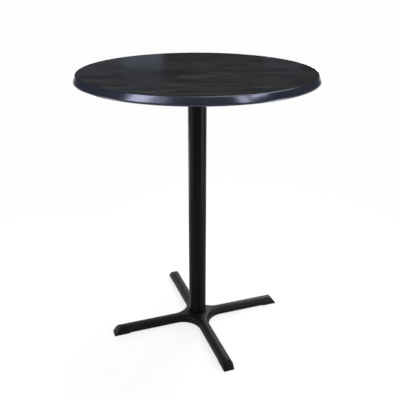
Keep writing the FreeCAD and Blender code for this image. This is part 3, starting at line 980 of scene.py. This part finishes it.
@dataclass
class Leveller:
    """One screw leveller: a threaded stud with a hexagon, in a nylon foot."""

    side: str
    body: Body
    way: Point
    place: float = 0.3450
    stud_radius: float = 0.0040
    thread_depth: float = 0.00065
    pitch: float = 0.00125
    hex_low: float = 0.00626
    hex_high: float = 0.01026
    hex_flats: float = 0.0130
    hex_bevel: float = 0.0004
    stud_top: float = 0.0280
    swivel_radius: float = 0.0055
    swivel_low: float = 0.00208
    swivel_high: float = 0.00458
    swivel_segments: int = 32

    def build(self, steel: bpy.types.Material) -> None:
        """Build the stud at the axis and move it to its arm's tip.

        Args:
            steel: The material.
        """
        shape = Shape()
        Thread(self.stud_radius, self.thread_depth, self.pitch, self.hex_high, self.stud_top).build(shape)
        shape.cap(self._hexagon(shape))
        flange = shape.ring(self.swivel_radius, self.swivel_low, self.swivel_segments)
        shape.cap(flange)
        steps = [
            (self.swivel_radius, self.swivel_high), (self.stud_radius, self.swivel_high),
            (self.stud_radius, self.hex_low),
        ]
        shape.cap(shape.climb(flange, steps))
        shape.shift(shape.mesh.verts, (self.way[0] * self.place, self.way[1] * self.place, 0.0))
        name = f"{self.side}_threaded_stud"
        shape.finish(name, self.body, steel, [f"{self.side}_leveler_stud"])

    def _hexagon(self, shape: Shape) -> Edges:
        """Add the hexagon with small bevels.

        Args:
            shape: The shape to build in.

        Returns:
            The edges of its open top.
        """
        corner = self.hex_flats / 2 / math.cos(math.pi / HEX_SIDES)
        bevel = self.hex_bevel
        low = shape.ring(corner - bevel, self.hex_low, HEX_SIDES)
        shape.cap(low)
        steps = [
            (corner, self.hex_low + bevel), (corner, self.hex_high - bevel), (corner - bevel, self.hex_high),
        ]
        return shape.climb(low, steps)

    def dress(self, nylon: bpy.types.Material) -> None:
        """Dress the foot."""
        dress(nylon, f"{self.side}_leveler_foot")


@dataclass
class TopMount:
    """The spider under the top with its screws, washers and inserts."""

    # Dome of a head, by shares of its radius and its height
    DOME: ClassVar[Tuple[Point, ...]] = ((1.00, 0.35), (0.95, 0.62), (0.84, 0.84), (0.68, 0.96), (0.58, 1.00))

    screw_places: Tuple[float, float] = (0.1250, 0.1800)
    head_top: float = 1.0685
    head_height: float = 0.0035
    head_radius: float = 0.0060
    head_segments: int = 28
    socket_corner: float = 0.0020
    socket_depth: float = 0.0020
    shank_radius: float = 0.0030
    shank_end: float = 1.0850

    def build(self, steel: bpy.types.Material) -> None:
        """Build the button-head screws of one arm, then repeat them round the other arms.

        Args:
            steel: The material.
        """
        shape = Shape()
        for place in self.screw_places:
            self._add_screw(shape, (place, 0.0))
        first = shape.everything()
        for arm in range(1, len(ARM_WAYS)):
            copy = bmesh.ops.duplicate(shape.mesh, geom=first)["geom"]
            turn = Matrix.Rotation(arm * math.tau / len(ARM_WAYS), 3, "Z")
            bmesh.ops.rotate(shape.mesh, cent=ORIGIN, matrix=turn, verts=shape.verts_of(copy))
        shape.finish("button_screws", Body.TABLE, steel, ["spider_screws"])

    def _add_screw(self, shape: Shape, centre: Point) -> None:
        """Add a screw with a domed head, a hexagon socket and a plain shank.

        Args:
            shape: The shape to build in.
            centre: Where the screw's axis stands.
        """
        radius = self.head_radius
        height = self.head_height
        low = self.head_top - height
        rim = shape.ring(radius, self.head_top, self.head_segments, centre)
        steps = [(radius * across, self.head_top - height * down) for across, down in self.DOME]
        crown = shape.climb(rim, steps, centre)
        socket = shape.ring(self.socket_corner, low, HEX_SIDES, centre)
        shape.fill([*crown, *socket], -UP)
        shape.cap(shape.climb(socket, [(self.socket_corner, low + self.socket_depth)], centre))
        shank = [(self.shank_radius, self.head_top), (self.shank_radius, self.shank_end)]
        shape.cap(shape.climb(rim, shank, centre))

    @staticmethod
    def dress(coat: bpy.types.Material, steel: bpy.types.Material) -> None:
        """Dress the spider, the washers and the inserts."""
        dress(coat, "spider")
        dress(steel, "spider_washers", "threaded_inserts")


@dataclass
class Pedestal:
    """The column and the tie rod that clamps it, with nuts and washers."""

    rod_radius: float = 0.0060
    rod_low: float = 0.0050
    rod_high: float = 1.0745
    rod_segments: int = 32
    thread_length: float = 0.0450
    thread_depth: float = 0.0011
    pitch: float = 0.00175

    def build(self, steel: bpy.types.Material) -> None:
        """Build the tie rod with a thread at both ends.

        Args:
            steel: The material.
        """
        shape = Shape()
        low_end = self.rod_low + self.thread_length
        high_end = self.rod_high - self.thread_length
        for low, high in ((self.rod_low, low_end), (high_end, self.rod_high)):
            part = Shape()
            Thread(self.rod_radius, self.thread_depth, self.pitch, low, high).build(part)
            data = bpy.data.meshes.new("rod_thread")
            part.mesh.to_mesh(data)
            part.mesh.free()
            shape.mesh.from_mesh(data)
            bpy.data.meshes.remove(data)
        ring = shape.ring(self.rod_radius, low_end, self.rod_segments)
        shape.cap(ring)
        shape.cap(shape.climb(ring, [(self.rod_radius, high_end)]))
        shape.finish("threaded_tie_rod", Body.TABLE, steel, ["tie_rod"])

    @staticmethod
    def dress(coat: bpy.types.Material, steel: bpy.types.Material) -> None:
        """Dress the column and the clamp's hardware.

        Args:
            coat: The material of the column.
            steel: The material of the nuts and washers.
        """
        dress(coat, "column")
        dress(steel, "tie_rod_top_washer", "tie_rod_top_nut", "tie_rod_bottom_washer")
        dress(steel, "tie_rod_lock_washer", "tie_rod_bottom_nut")


@dataclass(frozen=True)
class Softbox:
    """An area light that looks at the table, placed by the camera's own left and right."""

    name: str
    azimuth: float
    elevation: float
    distance: float
    width: float
    height: float
    power: float
    target: float = 0.9
    colour: Triple = (1.0, 1.0, 1.0)

    def hang(self, facing: float) -> None:
        """Hang the light.

        Args:
            facing: The angle about Z of the direction from the table to the camera.
        """
        data = bpy.data.lights.new(self.name, "AREA")
        data.shape = "RECTANGLE"
        data.size = self.width
        data.size_y = self.height
        data.energy = self.power
        data.color = self.colour
        lamp = add_object(self.name, data)
        rise = math.radians(self.elevation)
        flat = level_way(facing + math.radians(self.azimuth))
        way = flat * math.cos(rise) + UP * math.sin(rise)
        lamp.location = way * self.distance + UP * self.target
        lamp.rotation_euler = way.to_track_quat("Z", "Y").to_euler()


@dataclass
class Studio:
    """The pale floor, the dim room with its pale horizon, the overhead light and the softboxes.

    All of it is turned to the camera: facing is the angle about Z from the table to the camera.
    """

    SEEN_BY: ClassVar[Tuple[str, ...]] = ("Is Camera Ray", "Is Glossy Ray", "Is Transmission Ray")
    BLUE: ClassVar[Triple] = (0.60, 0.72, 1.0)

    facing: float
    floor_radius: float = 40.0
    floor_segments: int = 96
    floor_drop: float = 0.0002
    floor_colour: Colour = (0.65, 0.65, 0.65, 1.0)
    glow_reach: Point = (0.45, 1.15)
    glow: Point = (0.72, 0.97)
    backdrop_colour: Colour = (0.985, 0.985, 0.985, 1.0)
    wall_colour: Colour = (0.90, 0.90, 0.91, 1.0)
    ceiling_colour: Colour = (0.038, 0.038, 0.041, 1.0)
    back_to_front: Point = (-0.30, 0.25)
    wall_tops: Point = (math.sin(math.radians(-1.0)), math.sin(math.radians(12.0)))
    wall_fade: float = math.sin(math.radians(2.0))
    sun_power: float = 2.4
    sun_angle: float = math.radians(48.0)
    sun_azimuth: float = math.radians(130.0)
    sun_lean: float = math.radians(28.0)
    softboxes: Tuple[Softbox, ...] = (
        Softbox("front_left", -52.5, 35.5, 2.6, 0.7, 1.2, 40.0),
        Softbox("front_left_edge", -35.0, 39.0, 2.6, 0.5, 1.0, 6.5),
        Softbox("front_right", 42.0, 39.0, 2.6, 0.28, 1.0, 12.0),
        Softbox("front_right_high", 60.0, 41.0, 2.7, 0.6, 0.25, 9.0),
        Softbox("front_fill", 0.0, 47.0, 2.8, 2.0, 1.0, 1.8),
        Softbox("front_high", -10.0, 68.0, 2.8, 2.4, 0.5, 14.0),
        Softbox("low_back", -177.0, 0.0, 1.05, 2.2, 0.95, 11.0, target=0.52),
        Softbox("low_back_right", 158.0, 31.0, 1.75, 0.6, 0.4, 13.0, target=0.02),
        Softbox("low_far_left", -122.0, 0.0, 1.5, 0.5, 0.35, 4.0, target=0.2),
        Softbox("low_left", -72.0, 0.0, 1.4, 0.3, 0.9, 6.5, target=0.5),
        Softbox("low_right", 66.0, 0.0, 1.4, 0.3, 0.9, 13.5, target=0.5),
        Softbox("back_left_panel", -172.0, 7.5, 5.0, 0.5, 0.6, 0.12, colour=BLUE),
        Softbox("back_left_wide_panel", -168.5, 7.5, 5.0, 1.1, 0.6, 0.22, colour=BLUE),
        Softbox("back_right_panel", 167.5, 8.7, 5.0, 0.45, 0.3, 0.045, colour=BLUE),
    )

    def build(self) -> None:
        """Lay the floor, light the room and hang the lights."""
        self._lay_floor()
        self._light_room()
        self._hang_sun()
        for softbox in self.softboxes:
            softbox.hang(self.facing)

    def _lay_floor(self) -> None:
        """Lay a round floor just under the feet."""
        mesh = bmesh.new()
        place = Matrix.Translation(UP * -self.floor_drop)
        bmesh.ops.create_circle(
            mesh, cap_ends=True, segments=self.floor_segments, radius=self.floor_radius, matrix=place,
        )
        data = bpy.data.meshes.new("floor")
        mesh.to_mesh(data)
        mesh.free()
        data.materials.append(self._floor_material())
        add_object("floor", data)

    def _floor_material(self) -> bpy.types.Material:
        """Make the floor pale to the eye, and clear from below.

        Returns:
            The material, which lets a shadow show near the table.
        """
        material = bpy.data.materials.new("pale_floor")
        material.use_nodes = True
        paint = Paint(material.node_tree)
        shade = paint.node("ShaderNodeBsdfDiffuse", None, {"Color": self.floor_colour})
        glow = paint.node("ShaderNodeEmission", None, {"Color": WHITE, "Strength": 1.0})
        seen = sum((paint.node("ShaderNodeLightPath", output=name) for name in self.SEEN_BY), 0.0)
        once = paint.node("ShaderNodeMath", {"operation": "MINIMUM"}, {0: seen, 1: 1.0})
        length = {"operation": "LENGTH"}
        reach = paint.node("ShaderNodeVectorMath", length, {0: paint.place()}, output="Value")
        share = once * paint.smooth(reach, self.glow_reach, self.glow)
        upper = paint.node("ShaderNodeMixShader", None, {0: share, 1: shade, 2: glow})
        clear = paint.node("ShaderNodeBsdfTransparent", None, {"Color": WHITE})
        below = paint.node("ShaderNodeNewGeometry", output="Backfacing")
        mixed = paint.node("ShaderNodeMixShader", None, {0: below, 1: upper, 2: clear})
        paint.node("ShaderNodeOutputMaterial", {"target": "ALL"}, {"Surface": mixed})
        return material

    def _light_room(self) -> None:
        """Give the room a pale backdrop, which shines as a low wall below a dim ceiling."""
        world = bpy.data.worlds.new("room")
        world.use_nodes = True
        paint = Paint(world.node_tree)
        way = paint.node("ShaderNodeTexCoord", output="Generated")
        height = paint.node("ShaderNodeSeparateXYZ", None, {0: way}, output="Z")
        dot = {"operation": "DOT_PRODUCT"}
        inputs = {0: way, 1: level_way(self.facing)}
        along = paint.node("ShaderNodeVectorMath", dot, inputs, output="Value")
        wall = paint.smooth(along, self.back_to_front, self.wall_tops)
        rise = paint.smooth(height - wall, (0.0, self.wall_fade))
        room = paint.mix(rise, self.wall_colour, self.ceiling_colour)
        seen = paint.node("ShaderNodeLightPath", output="Is Camera Ray")
        colour = paint.mix(seen, room, self.backdrop_colour)
        light = paint.node("ShaderNodeBackground", None, {"Color": colour, "Strength": 1.0})
        paint.node("ShaderNodeOutputWorld", {"target": "ALL"}, {"Surface": light})
        bpy.context.scene.world = world

    def _hang_sun(self) -> None:
        """Hang the wide overhead light, leaning to the back and the right."""
        data = bpy.data.lights.new("overhead", "SUN")
        data.energy = self.sun_power
        data.angle = self.sun_angle
        sun = add_object("overhead", data)
        flat = level_way(self.facing + self.sun_azimuth)
        way = flat * math.sin(self.sun_lean) + UP * math.cos(self.sun_lean)
        sun.rotation_euler = way.to_track_quat("Z", "Y").to_euler()


@dataclass
class PhotoCamera:
    """The camera that sees the table as the photograph does."""

    eye: Triple = (-0.66416, -1.92607, 1.45617)
    heading: float = math.radians(19.3265)
    pitch: float = math.radians(23.4114)
    roll: float = math.radians(0.0528)
    focal_pixels: float = 541.4243
    frame_pixels: float = 400.0
    sensor: float = 36.0

    def build(self) -> None:
        """Make the camera and give it to the scene."""
        data = bpy.data.cameras.new("photo_camera")
        data.sensor_width = self.sensor
        data.lens = self.focal_pixels / self.frame_pixels * self.sensor
        camera = add_object("photo_camera", data)
        flat = Vector((math.sin(self.heading), math.cos(self.heading), 0.0))
        right = flat.cross(UP)
        forward = flat * math.cos(self.pitch) - UP * math.sin(self.pitch)
        basis = Matrix((right, right.cross(forward), -forward)).transposed().to_4x4()
        camera.matrix_world = Matrix.Translation(self.eye) @ basis @ Matrix.Rotation(self.roll, 4, "Z")
        bpy.context.scene.camera = camera

    def facing(self) -> float:
        """Return the angle about Z of the direction from the table to the camera."""
        return math.atan2(self.eye[1], self.eye[0])


def main() -> None:
    """Build the table's pieces in order, dress them and set up the studio."""
    logging.basicConfig(level=logging.INFO, format="%(name)s %(message)s")
    bpy.context.scene.view_settings.view_transform = "Standard"
    steel = ZincPlate("zinc_plate").material()
    tube_coat = PowderCoat("tube_coat", specular=0.06).material()
    cast_coat = PowderCoat(
        "cast_coat", specular=0.10, roughness=(0.42, 0.54), dust=(0.0040, 0.0040, 0.0040, 1.0),
        lump_relief=Relief(depth=0.0006, strength=0.6),
    ).material()
    nylon = GrainedPlastic("moulded_nylon").material()

    lavender = (0.68, 0.72, 1.00, 1.0)
    coarse_grain = Pattern(scale=1.0 / 0.0025, detail=2.0, roughness=0.55)
    decor = StreakedLaminate("streaked_laminate", tint=lavender)
    balance = GrainedPlastic("balancing_sheet", grain=coarse_grain)
    top = TableTop()
    top.build(GlossMoulding("gloss_moulding", tint=lavender))
    top.dress(decor, balance, WoodFibre("wood_fibre"))

    mount = TopMount()
    mount.build(steel)
    mount.dress(cast_coat, steel)

    pedestal = Pedestal()
    pedestal.build(steel)
    pedestal.dress(tube_coat, steel)

    CrossBase().build(cast_coat)
    levellers = (
        Leveller("front", Body.FRONT_STUD, (0.0, -1.0)),
        Leveller("right", Body.RIGHT_STUD, (1.0, 0.0)),
        Leveller("back", Body.BACK_STUD, (0.0, 1.0)),
        Leveller("left", Body.LEFT_STUD, (-1.0, 0.0)),
    )
    for leveller in levellers:
        leveller.build(steel)
        leveller.dress(nylon)

    camera = PhotoCamera()
    camera.build()
    Studio(camera.facing()).build()


if __name__ == "__main__":
    main()
